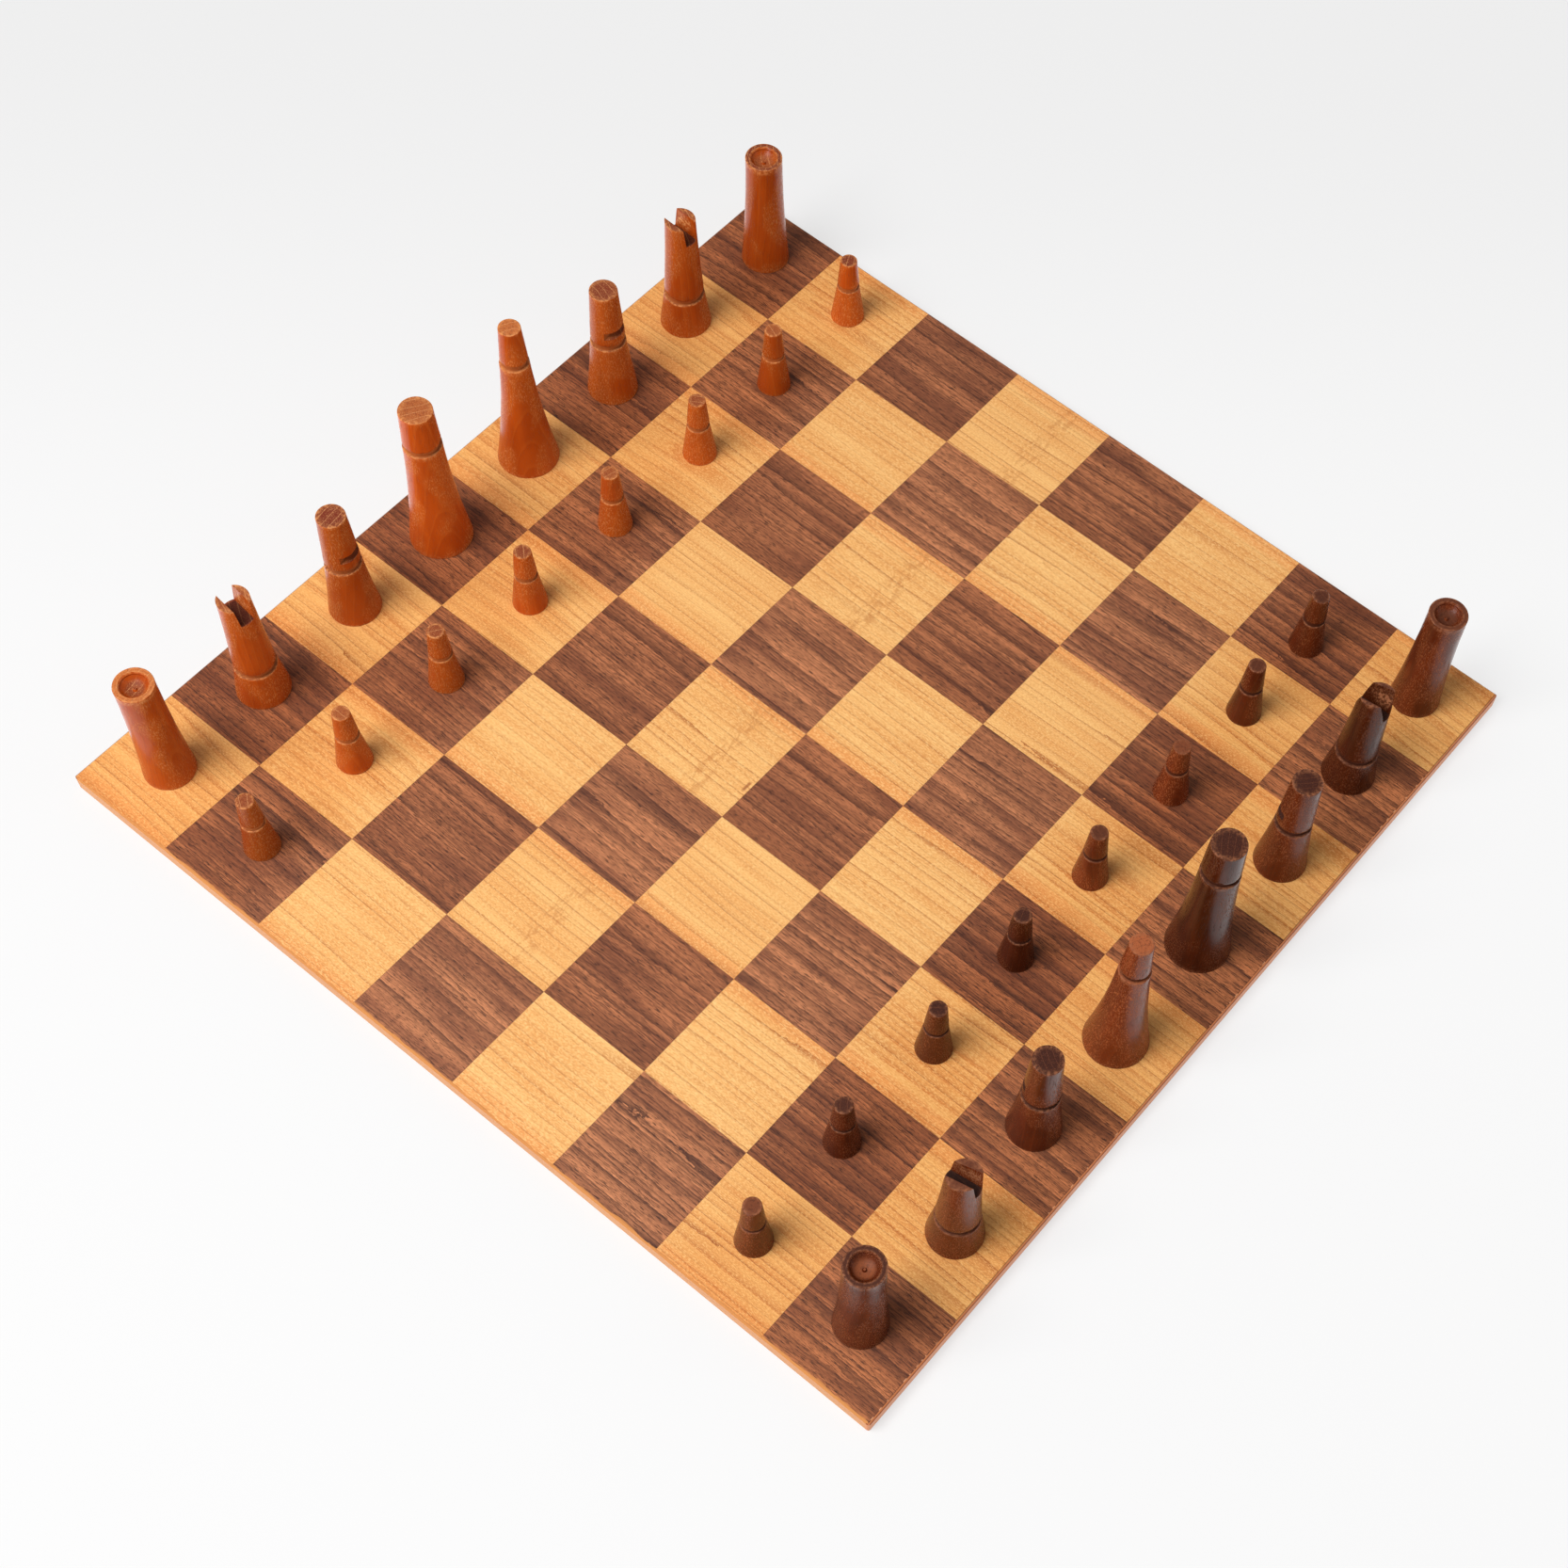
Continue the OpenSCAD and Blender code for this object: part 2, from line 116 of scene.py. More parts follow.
# The stick each piece was turned from: tone of its side, tone of its top, share of pale flecks,
# the way its growth rings face in degrees, and how far off the pith lay
STICKS = {
    "light_rook_a": (0.80, 0.02, 0.3, 40, 60),
    "light_knight_b": (0.90, 0.10, 0.4, 205, 34),
    "light_bishop_c": (0.93, 0.08, 0.8, 200, 26),
    "light_queen_d": (1.06, 0.82, 0.2, 120, 80),
    "light_king_e": (1.16, 0.60, 0.3, 115, 80),
    "light_bishop_f": (0.90, -0.06, 0.5, 100, 60),
    "light_knight_g": (1.02, 0.30, 0.4, 20, 45),
    "light_rook_h": (0.98, 0.95, 0.2, 80, 50),
    "light_pawn_a": (1.12, -0.04, 0.9, 60, 40),
    "light_pawn_b": (0.79, 0.45, 0.15, 10, 55),
    "light_pawn_c": (1.04, 0.27, 0.9, 150, 45),
    "light_pawn_d": (0.97, 0.40, 0.8, 100, 60),
    "light_pawn_e": (1.08, 0.14, 0.25, 230, 38),
    "light_pawn_f": (0.86, 0.22, 0.9, 300, 45),
    "light_pawn_g": (1.02, 0.44, 0.15, 170, 60),
    "light_pawn_h": (0.69, 0.23, 1.0, 30, 45),
    "dark_pawn_a": (0.85, 0.11, 0.5, 20, 50),
    "dark_pawn_b": (0.98, 0.16, 0.3, 80, 45),
    "dark_pawn_c": (1.38, 0.48, 1.0, 140, 40),
    "dark_pawn_d": (1.34, 0.17, 0.9, 200, 55),
    "dark_pawn_e": (0.55, -0.04, 0.3, 260, 45),
    "dark_pawn_f": (0.84, -0.05, 0.5, 320, 60),
    "dark_pawn_g": (0.74, 0.04, 0.8, 50, 40),
    "dark_pawn_h": (0.97, 0.40, 0.6, 110, 45),
    "dark_rook_a": (1.06, 0.25, 0.5, 30, 50),
    "dark_knight_b": (0.50, 0.10, 0.5, 100, 60),
    "dark_bishop_c": (0.95, 0.00, 0.7, 150, 45),
    "dark_king_d": (0.52, -0.02, 0.35, 60, 70),
    "dark_queen_e": (1.42, 1.00, 0.6, 120, 60),
    "dark_bishop_f": (0.93, -0.03, 0.3, 210, 50),
    "dark_knight_g": (1.08, 0.20, 0.5, 15, 55),
    "dark_rook_h": (0.84, 0.05, 0.4, 75, 40),
}


def srgb(red, green, blue):
    """A colour as a paint chip reads it, turned into the light it gives back."""
    def one(value):
        part = value / 255
        return part / 12.92 if part <= 0.04045 else ((part + 0.055) / 1.055) ** 2.4
    return (one(red), one(green), one(blue), 1.0)


class Wiring:
    """Adds nodes to one tree. An input may be a number, a tuple or another node's output."""

    def __init__(self, tree):
        self.tree = tree

    def put(self, value, socket):
        if isinstance(value, bpy.types.NodeSocket):
            self.tree.links.new(value, socket)
        elif value is not None:
            socket.default_value = value

    def node(self, kind, inputs=(), **settings):
        made = self.tree.nodes.new(kind)
        for name, value in settings.items():
            setattr(made, name, value)
        items = inputs.items() if isinstance(inputs, dict) else enumerate(inputs)
        for key, value in items:
            self.put(value, made.inputs[key])
        return made

    def math(self, operation, *values, clamp=False):
        return self.node("ShaderNodeMath", values, operation=operation, use_clamp=clamp).outputs[0]

    def add(self, *values):
        total = values[0]
        for value in values[1:]:
            total = self.math("ADD", total, value)
        return total

    def minus(self, a, b):
        return self.math("SUBTRACT", a, b)

    def times(self, *values):
        total = values[0]
        for value in values[1:]:
            total = self.math("MULTIPLY", total, value)
        return total

    def over(self, a, b):
        return self.math("DIVIDE", a, b)

    def between(self, a, b, part):
        """Goes from a to b as part goes from nothing to one."""
        return self.add(a, self.times(self.minus(b, a), part))

    def hollow(self, depth, part):
        """How far a hollowed side has drawn in at a part of its height: most at the middle."""
        return self.times(4.0, depth, part, self.minus(1.0, part))

    def gap(self, a, b):
        """How far apart two values are."""
        return self.math("ABSOLUTE", self.minus(a, b))

    def vector(self, operation, *values):
        return self.node("ShaderNodeVectorMath", values, operation=operation).outputs[0]

    def in_mm(self, vector):
        return self.vector("DIVIDE", vector, (MM, MM, MM))

    def stretch(self, vector, x, y, z):
        return self.vector("MULTIPLY", vector, (x, y, z))

    def split(self, vector):
        return self.node("ShaderNodeSeparateXYZ", [vector]).outputs

    def join(self, x, y, z):
        return self.node("ShaderNodeCombineXYZ", [x, y, z]).outputs[0]

    def noise(self, vector, detail=2.0, roughness=0.5):
        inputs = {"Vector": vector, "Scale": 1.0, "Detail": detail, "Roughness": roughness}
        return self.node("ShaderNodeTexNoise", inputs).outputs[0]

    def random(self, vector):
        return self.node("ShaderNodeTexWhiteNoise", {"Vector": vector}, noise_dimensions="3D").outputs[0]

    def ramp(self, value, low, high, to_low=0.0, to_high=1.0, smooth=True):
        """Takes value from one range to another, held at both ends."""
        inputs = {"Value": value, "From Min": low, "From Max": high, "To Min": to_low, "To Max": to_high}
        kind = "SMOOTHSTEP" if smooth else "LINEAR"
        return self.node("ShaderNodeMapRange", inputs, interpolation_type=kind).outputs[0]

    def fade(self, value, low, high):
        """Whole up to low, gone from high on."""
        return self.ramp(value, low, high, 1.0, 0.0)

    def blend(self, amount, a, b, mode="MIX"):
        made = self.node("ShaderNodeMix", data_type="RGBA", blend_type=mode)
        self.put(amount, made.inputs[0])
        self.put(a, made.inputs[6])
        self.put(b, made.inputs[7])
        return made.outputs[2]

    def shaded(self, colour, shade):
        return self.blend(1.0, colour, shade, mode="MULTIPLY")

    def place(self, tree, inputs):
        return self.node("ShaderNodeGroup", inputs, node_tree=tree).outputs


def new_tree(name, kind, inputs, outputs):
    """A node group with named sockets: its wiring, its inputs and the node that takes its outputs."""
    tree = bpy.data.node_groups.new(name, kind)
    for way, sockets in (("INPUT", inputs), ("OUTPUT", outputs)):
        for socket, sort in sockets.items():
            tree.interface.new_socket(socket, in_out=way, socket_type="NodeSocket" + sort)
    w = Wiring(tree)
    return w, w.node("NodeGroupInput").outputs, w.node("NodeGroupOutput").inputs


# Turned pieces: half a section is run round the axis, as a tool follows it on the lathe

# Steps round the axis, the gap that is closed at the axis and the seam, the width of a cutting block,
# a small shift that keeps the blocks' faces off the section's own lines, how far a slot's block rises
# past the slot, and the bend in degrees that still shades smooth
AROUND = 72
MERGE = 0.002
CUTTER = 40
OFF_LINE = 0.013
SLOT_SPARE = 12.0
SMOOTH_BEND = 35

# The hand on the tool: how far a side runs out of round, how deep a groove's lips are nicked, and the
# height that a saw cut's tears reach over
OUT_OF_ROUND = 0.16
NICK = 0.26
TEAR = 1.1

# How far apart the pieces start in the noise, and how much of the stick goes with one step of it
SEED_STEP = 3.7
STICK_STEP = 37.0

# The sizes that a turned piece takes, with what each is when nothing else is given
TURNED_SIZES = {
    "Height": 50, "Foot": 20, "Waist": 14, "Neck": 13, "Top": 11, "Groove height": 25,
    "Groove opening": 2.9, "Groove depth": 1, "Lip": 0.16, "Low hollow": 0, "High hollow": 0,
    "Edge": 0.3, "Cup": 0, "Cup lip": 0, "Cup wall": 0, "Cup dish": 0, "Nub": 0, "Nub rise": 0,
    "Slot mouth": 6, "Slot floor": 5, "Slot depth": 0, "Slant": 0,
    "Notch height": 30, "Notch opening": 3, "Notch depth": 0,
    "Seed": 0, "Tone": 1, "Top tone": 0.5, "Cup tone": 0.5, "Fleck": 0.5, "Ring turn": 0, "Pith": 50,
}


class Section:
    """Half the section of a turned piece, from the middle of its foot to the middle of its top."""

    def __init__(self, w):
        self.w = w
        self.rows = 0
        self.steps = []

    def run(self, rows, out, up, path="straight", hollow=0):
        """Moves the tool by out and up over a number of rows, straight or along one of the curves."""
        self.steps.append((self.rows, self.rows + rows, out, up, path, hollow))
        self.rows += rows

    def trace(self, row):
        w = self.w
        radius = 0.0
        height = 0.0
        for start, end, out, up, path, hollow in self.steps:
            t = w.ramp(row, start, end, smooth=False)
            across = t
            rise = t
            if path in ("round under", "round over"):
                swing = w.times(t, math.pi / 2)
                sine = w.math("SINE", swing)
                rest = w.minus(1.0, w.math("COSINE", swing))
                across, rise = (sine, rest) if path == "round under" else (rest, sine)
            elif path == "dished":
                rise = w.times(t, w.minus(2.0, t))
            radius = w.add(radius, w.times(out, across))
            height = w.add(height, w.times(up, rise))
            if path == "hollowed":
                radius = w.minus(radius, w.hollow(hollow, t))
        return radius, height


def cutter(w, mesh, position, tool):
    """Cuts a block out of a mesh, if tool has a size: position shapes the block from a unit cube."""
    cube = w.node("GeometryNodeMeshCube", {"Size": (1, 1, 1), "Vertices X": 9, "Vertices Y": 9,
                                           "Vertices Z": 5}).outputs["Mesh"]
    block = w.node("GeometryNodeSetPosition", {"Geometry": cube, "Position": position}).outputs[0]
    cut = w.node("GeometryNodeMeshBoolean", operation="DIFFERENCE", solver="MANIFOLD")
    w.put(mesh, cut.inputs["Mesh 1"])
    w.put(block, cut.inputs["Mesh 2"])
    wanted = w.node("FunctionNodeCompare", {"A": tool, "B": 0.0}, operation="GREATER_THAN").outputs[0]
    return w.node("GeometryNodeSwitch", {"Switch": wanted, "False": mesh, "True": cut.outputs["Mesh"]},
                  input_type="GEOMETRY").outputs[0]


def keep(w, mesh, name, value, kind="FLOAT", domain="POINT"):
    """Keeps a value on the mesh for the wood to read."""
    return w.node("GeometryNodeStoreNamedAttribute", {"Geometry": mesh, "Name": name, "Value": value},
                  data_type=kind, domain=domain).outputs[0]


def turned_piece():
    """The node group that turns a piece, cuts it and leaves on it what its wood reads."""
    sockets = {name: "Float" for name in TURNED_SIZES}
    w, given, out = new_tree("turned piece", "GeometryNodeTree",
                             {**sockets, "Stand at": "Vector", "Turn": "Float", "Wood": "Material"},
                             {"Geometry": "Geometry"})
    for item in w.tree.interface.items_tree:
        if item.in_out == "INPUT" and item.name in TURNED_SIZES:
            item.default_value = TURNED_SIZES[item.name]
    half = {name: w.over(given[name], 2.0) for name in ("Foot", "Waist", "Neck", "Top", "Cup", "Nub")}
    edge = given["Edge"]
    lip = given["Lip"]
    groove_z = given["Groove height"]
    opening = given["Groove opening"]
    slant = w.math("RADIANS", given["Slant"])
    is_knight = w.math("GREATER_THAN", given["Slot depth"], 0.0)
    spare = w.times(is_knight, w.add(1.0, w.times(half["Top"], w.math("TANGENT", slant))))
    height = w.add(given["Height"], spare)
    thinner = w.math("MINIMUM", half["Waist"], half["Neck"])
    core = w.minus(thinner, given["Groove depth"])

    # The section: foot, lower side, groove, upper side, top and cup
    section = Section(w)
    section.run(3, w.minus(half["Foot"], edge), 0.0)
    section.run(4, edge, edge, "round under")
    section.run(26, w.minus(half["Waist"], half["Foot"]), w.minus(groove_z, w.add(edge, lip)),
                "hollowed", given["Low hollow"])
    section.run(3, w.times(lip, -1.0), lip, "round over")
    section.run(1, w.minus(core, w.minus(half["Waist"], lip)), 0.0)
    section.run(3, 0.0, opening)
    section.run(1, w.minus(w.minus(half["Neck"], lip), core), 0.0)
    section.run(3, lip, lip, "round under")
    section.run(18, w.minus(half["Top"], half["Neck"]),
                w.minus(height, w.add(groove_z, opening, lip, edge)), "hollowed", given["High hollow"])
    section.run(4, w.times(edge, -1.0), edge, "round over")
    section.run(3, w.minus(half["Cup"], w.minus(half["Top"], edge)), 0.0)
    cup_lip = given["Cup lip"]
    bowl = w.minus(half["Cup"], cup_lip)
    section.run(2, w.times(cup_lip, -1.0), w.times(cup_lip, -1.0))
    section.run(2, 0.0, w.minus(cup_lip, given["Cup wall"]))
    section.run(12, w.minus(half["Nub"], bowl), w.times(given["Cup dish"], -1.0), "dished")
    section.run(3, w.times(half["Nub"], -0.5), given["Nub rise"])
    section.run(2, w.times(half["Nub"], -0.5), 0.0)

    grid = w.node("GeometryNodeMeshGrid", {"Size X": 1.0, "Size Y": 1.0, "Vertices X": AROUND + 1,
                                           "Vertices Y": section.rows + 1}).outputs["Mesh"]
    across, along, _ = w.split(w.node("GeometryNodeInputPosition").outputs[0])
    angle = w.times(w.add(across, 0.5), 2 * math.pi)
    radius, level = section.trace(w.times(w.add(along, 0.5), float(section.rows)))
    cosine = w.math("COSINE", angle)
    sine = w.math("SINE", angle)

    # The hand on the tool: the side is never quite round, and the groove's lips are nicked
    spot = w.join(w.times(cosine, 2.0), w.add(w.times(sine, 2.0), given["Seed"]), w.times(level, 0.12))
    sway = w.times(w.minus(w.noise(spot), 0.5), w.ramp(radius, 3.0, 6.0, 0.0, OUT_OF_ROUND))
    near_lip = w.math("MINIMUM", w.gap(level, groove_z), w.gap(level, w.add(groove_z, opening)))
    fine = w.join(w.times(cosine, 9.0), w.add(w.times(sine, 9.0), given["Seed"]), w.times(level, 0.9))
    torn = w.ramp(w.noise(fine, detail=3.0), 0.55, 0.72)
    nick = w.times(torn, w.ramp(near_lip, 0.1, 0.45, NICK, 0.0), w.math("GREATER_THAN", lip, 0.0),
                   w.ramp(w.minus(radius, core), 0.1, 0.4))
    radius = w.minus(w.add(radius, sway), nick)
    round_it = w.join(w.times(radius, cosine), w.times(radius, sine), level)
    form = w.node("GeometryNodeSetPosition", {"Geometry": grid, "Position": round_it}).outputs[0]
    form = w.node("GeometryNodeMergeByDistance", {"Geometry": form, "Distance": MERGE}).outputs[0]

    # A knight's level or slanting top, and its slot, narrower at its floor
    x, y, z = w.split(w.node("GeometryNodeInputPosition").outputs[0])
    tilt = w.node("ShaderNodeVectorRotate", {
        "Vector": w.join(w.times(w.add(x, OFF_LINE), CUTTER), w.times(w.add(y, OFF_LINE), CUTTER),
                         w.times(w.add(z, 0.5), CUTTER / 2)),
        "Axis": (1, 0, 0), "Angle": w.times(slant, -1.0)}).outputs[0]
    top = w.vector("ADD", tilt, w.join(0.0, 0.0, given["Height"]))
    form = cutter(w, form, top, given["Slot depth"])
    deep = w.add(given["Slot depth"], SLOT_SPARE)
    up = w.times(w.add(z, 0.5), deep)
    flare = w.over(w.minus(given["Slot mouth"], given["Slot floor"]), given["Slot depth"])
    wide = w.add(given["Slot floor"], w.times(flare, up))
    slot_z = w.minus(given["Height"], given["Slot depth"])
    slot = w.join(w.add(w.times(x, wide), OFF_LINE), w.times(w.add(y, OFF_LINE), CUTTER), w.add(slot_z, up))
    form = cutter(w, form, slot, given["Slot depth"])

    # A bishop's saw cut, open to the front, its lips torn by the saw
    run_up = w.over(w.minus(given["Notch height"], w.add(groove_z, opening)),
                    w.minus(given["Height"], w.add(groove_z, opening)))
    face = w.between(half["Neck"], half["Top"], run_up)
    back = w.minus(face, given["Notch depth"])
    spot = w.join(w.times(x, 26.0), w.times(y, 14.0), w.add(z, given["Seed"]))
    tear = w.minus(w.noise(spot, detail=3.0), 0.5)
    low = w.add(given["Notch height"], w.times(w.add(z, 0.5), given["Notch opening"]), w.times(tear, TEAR))
    notch = w.join(w.times(w.add(x, OFF_LINE), CUTTER), w.add(back, w.times(w.add(y, 0.5), CUTTER)), low)
    form = cutter(w, form, notch, given["Notch depth"])

    # What the wood reads: where a point lies in its stick, how far in it was cut, how near an edge it is
    # (real wear and painted highlight), and painted shade at a slot's floor
    here = w.node("GeometryNodeInputPosition").outputs[0]
    x, y, z = w.split(here)
    reach = w.math("SQRT", w.add(w.times(x, x), w.times(y, y)))
    t_low = w.over(z, groove_z)
    t_high = w.over(w.minus(z, w.add(groove_z, opening)), w.minus(height, w.add(groove_z, opening)))
    lower = w.minus(w.between(half["Foot"], half["Waist"], t_low), w.hollow(given["Low hollow"], t_low))
    upper = w.minus(w.between(half["Neck"], half["Top"], t_high), w.hollow(given["High hollow"], t_high))
    above = w.math("GREATER_THAN", z, w.add(groove_z, w.times(opening, 0.5)))
    skin = w.add(w.times(above, upper), w.times(w.minus(1.0, above), lower))
    inset = w.minus(skin, reach)
    crown = w.minus(given["Height"], w.times(y, w.math("TANGENT", slant)))
    below = w.ramp(w.minus(crown, z), 0.2, 0.7)
    inside = w.times(w.ramp(inset, 0.15, 0.6), below, w.ramp(z, 0.3, 0.8))
    has_cup = w.math("GREATER_THAN", half["Cup"], 0.0)
    in_slot = w.times(inside, is_knight, above)
    in_cup = w.times(has_cup, w.math("LESS_THAN", reach, w.add(bowl, 0.05)),
                     w.math("GREATER_THAN", z, w.times(given["Height"], 0.5)))
    # Painted shade: the end grain darkens towards a slot's floor
    painted_floor_shade = w.times(in_slot, w.fade(w.minus(z, slot_z), 0.1, 2.0))
    cut = w.times(w.minus(inside, in_slot), w.minus(1.0, has_cup))
    rim = w.fade(w.gap(crown, z), 0.0, 0.6)
    foot = w.ramp(z, 0.0, 1.2, 0.6, 0.0)
    lips = w.fade(w.gap(z, groove_z), 0.05, 0.55)
    # Pale edges at the rim, the foot and the groove's lips: partly real wear, partly a painted highlight
    edges = w.math("MAXIMUM", w.math("MAXIMUM", rim, foot), lips)
    edges = w.times(edges, w.fade(inset, 0.35, 0.7))
    from_lip = w.gap(reach, w.add(bowl, w.times(cup_lip, 0.5)))
    edges = w.math("MAXIMUM", edges, w.times(has_cup, rim, w.fade(from_lip, 0.2, 0.6)))
    # A slot's walls are paled too: partly bare sawn wood, partly painted light
    edges = w.math("MAXIMUM", edges, w.times(w.minus(in_slot, painted_floor_shade), 1.8))
    other = w.times(w.minus(given["Cup tone"], given["Top tone"]), in_cup)
    top_tone = w.minus(w.add(given["Top tone"], other), w.times(painted_floor_shade, 2.0))
    ring_turn = w.math("RADIANS", given["Ring turn"])
    stick = w.node("ShaderNodeVectorRotate", {"Vector": here, "Angle": ring_turn}).outputs[0]
    stick = w.vector("ADD", stick, w.join(given["Pith"], 0.0, w.times(given["Seed"], STICK_STEP)))
    form = keep(w, form, "in_stick", stick, "FLOAT_VECTOR")
    for name, value in (("cut_in", cut), ("edge", edges), ("tone", given["Tone"]),
                        ("top_tone", top_tone), ("fleck", given["Fleck"])):
        form = keep(w, form, name, value)
    bend = w.node("GeometryNodeInputMeshEdgeAngle").outputs["Unsigned Angle"]
    sharp = w.math("GREATER_THAN", bend, math.radians(SMOOTH_BEND))
    form = keep(w, form, "sharp_edge", sharp, "BOOLEAN", "EDGE")
    form = w.node("GeometryNodeSetShadeSmooth", {"Geometry": form, "Shade Smooth": True}).outputs[0]
    turned = w.join(0.0, 0.0, w.math("RADIANS", given["Turn"]))
    form = w.node("GeometryNodeTransform", {"Geometry": form, "Translation": given["Stand at"],
                                            "Rotation": turned, "Scale": (MM, MM, MM)}).outputs[0]
    form = w.node("GeometryNodeRealizeInstances", {"Geometry": form}).outputs[0]
    form = w.node("GeometryNodeSetMaterial", {"Geometry": form, "Material": given["Wood"]}).outputs[0]
    w.put(form, out["Geometry"])
    return w.tree


def turn_piece(tree, node, number, wood):
    """Turns one piece and stands it where the frame has it."""
    side, kind = node.split("_")[:2]
    sizes = dict(KINDS[kind if kind != "knight" else side + "_knight"])
    sizes.update(OWN_SIZES.get(node, {}))
    tone, top_tone, fleck, ring_turn, pith = STICKS[node]
    sizes.update({"Seed": number * SEED_STEP, "Tone": tone, "Top tone": top_tone, "Fleck": fleck,
                  "Ring turn": ring_turn, "Pith": pith, "Turn": TURNS.get(node, 0), "Wood": wood})
    low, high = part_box(node)
    sizes["Stand at"] = ((low.x + high.x) / 2, (low.y + high.y) / 2, BOARD_TOP)
    holder = bpy.data.objects.new("lathe", bpy.data.meshes.new("lathe"))
    bpy.context.scene.collection.objects.link(holder)
    lathe = holder.modifiers.new("lathe", "NODES")
    lathe.node_group = tree
    for item in tree.interface.items_tree:
        if item.in_out == "INPUT" and item.name in sizes:
            value = sizes[item.name]
            lathe[item.identifier] = float(value) if isinstance(value, int) else value
    graph = bpy.context.evaluated_depsgraph_get()
    mesh = bpy.data.meshes.new_from_object(holder.evaluated_get(graph))
    bpy.data.objects.remove(holder)
    piece = bpy.data.objects.new("turned_" + node, mesh)
    mesh.name = piece.name
    bpy.context.scene.collection.objects.link(piece)
    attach(piece, frame["nodes"][node]["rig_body"])
    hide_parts(node)


# Woods

# Where a cross figure runs through one row of light squares, and the middle of a small red-brown mark
CROSS_FIGURE_Y = -19.0
MARK_X = 33.5
MARK_Y = -1.8


def veneer_lay():
    """Where a point lies on its leaf of veneer: each rank's row is turned end for end from the last."""
    w, given, out = new_tree(
        "veneer lay", "ShaderNodeTree", {"Position": "Vector", "Drift": "Float"},
        {"Leaf point": "Vector", "Across": "Float", "Odd rank": "Float", "Outer": "Float"})
    x, y, _ = w.split(w.in_mm(given["Position"]))
    file = w.math("FLOOR", w.over(x, SQUARE))
    rank = w.math("FLOOR", w.over(y, SQUARE))
    odd = w.math("FLOORED_MODULO", rank, 2.0)
    turned = w.minus(1.0, w.times(odd, 2.0))
    middle = w.times(w.add(file, 0.5), SQUARE)
    across = w.times(w.minus(x, middle), turned)
    leaf = w.math("FLOOR", w.over(file, 2.0))
    point = w.join(across, w.times(y, turned), w.add(w.times(leaf, given["Drift"]), w.times(rank, 5.3)))
    w.put(point, out["Leaf point"])
    w.put(w.over(across, SQUARE), out["Across"])
    w.put(odd, out["Odd rank"])
    w.put(w.ramp(w.math("ABSOLUTE", y), 88, 125), out["Outer"])
    return w.tree


def growth_lines():
    """Late wood lines: each darkens slowly and ends sharply, at a spacing and a strength that wander."""
    w, given, out = new_tree(
        "growth lines", "ShaderNodeTree",
        {"Leaf point": "Vector", "Spacing": "Float", "Wander": "Float", "Curve": "Float",
         "Ripple": "Float", "Sharpness": "Float"},
        {"Lines": "Float"})
    point = given["Leaf point"]
    slow = w.noise(w.stretch(point, 0.08, 0.0022, 1.0), detail=2.0)
    curve = w.noise(w.stretch(point, 0.014, 0.012, 1.0), detail=0.0)
    ripple = w.noise(w.stretch(point, 0.7, 0.30, 1.0), detail=3.0, roughness=0.65)
    x, _, z = w.split(point)
    bent = w.add(x, w.times(w.minus(slow, 0.5), given["Wander"]),
                 w.times(w.minus(curve, 0.5), given["Curve"]),
                 w.times(w.minus(ripple, 0.5), given["Ripple"]))
    ring = w.over(bent, given["Spacing"])
    tone = w.random(w.join(w.math("FLOOR", ring), 0.0, w.math("FLOOR", w.over(z, 5.0))))
    line = w.math("POWER", w.math("FRACT", ring), given["Sharpness"])
    line = w.times(line, w.ramp(tone, 0.1, 0.9, 0.35, 1.0))
    w.put(line, out["Lines"])
    return w.tree


def worn_and_shaded_rim():
    """The face veneer's rim: planed through to paler wood at two edges, with a painted shade line at the
    other two.
    """
    w, given, out = new_tree("worn rim", "ShaderNodeTree",
                             {"Position": "Vector", "Colour": "Color", "Dark wood": "Float"},
                             {"Colour": "Color"})
    x, y, _ = w.split(w.in_mm(given["Position"]))
    right = w.minus(HALF_BOARD, x)
    far = w.minus(HALF_BOARD, y)
    wave = w.noise(w.join(w.times(y, 0.10), 3.0, 0.0), detail=3.0)
    bared = w.times(w.ramp(wave, 0.3, 0.7, 0.5, 1.3), w.ramp(given["Dark wood"], 0.0, 1.0, 0.8, 1.0))
    colour = w.blend(w.fade(right, bared, w.add(bared, 0.25)), given["Colour"], srgb(194, 126, 66))
    chips = w.noise(w.join(w.times(x, 0.45), 5.0, 0.0), detail=2.0)
    chip = w.times(given["Dark wood"], w.ramp(chips, 0.5, 0.6))
    seam = w.fade(w.gap(far, 0.95), 0.05, 0.3)
    colour = w.blend(w.times(seam, 0.7), colour, w.blend(chip, srgb(92, 46, 28), srgb(226, 164, 120)))
    colour = w.blend(w.fade(far, 0.7, 0.85), colour, srgb(196, 118, 70))
    # Painted shade: a dark line along the rim at the two edges of low x and low y
    other = w.math("MINIMUM", w.add(x, HALF_BOARD), w.add(y, HALF_BOARD))
    colour = w.blend(w.ramp(other, 0.35, 0.8, 0.75, 0.0), colour, srgb(70, 38, 26))
    w.put(colour, out["Colour"])
    return w.tree


def new_material(name):
    """A material with one plain shader in it, and the wiring of its tree."""
    material = bpy.data.materials.new(name)
    material.use_nodes = True
    material.node_tree.nodes.clear()
    w = Wiring(material.node_tree)
    shader = w.node("ShaderNodeBsdfPrincipled")
    output = w.node("ShaderNodeOutputMaterial")
    w.put(shader.outputs[0], output.inputs[0])
    return material, w, shader


def finish_wood(w, shader, colour, roughness, height, depth, gloss=0.3):
    """Gives the shader its colour, its gloss and a relief of so much depth."""
    shader.inputs["Specular IOR Level"].default_value = gloss
    w.put(colour, shader.inputs["Base Color"])
    w.put(roughness, shader.inputs["Roughness"])
    bump = w.node("ShaderNodeBump", {"Height": height, "Strength": 1.0, "Distance": depth})
    w.put(bump.outputs[0], shader.inputs["Normal"])


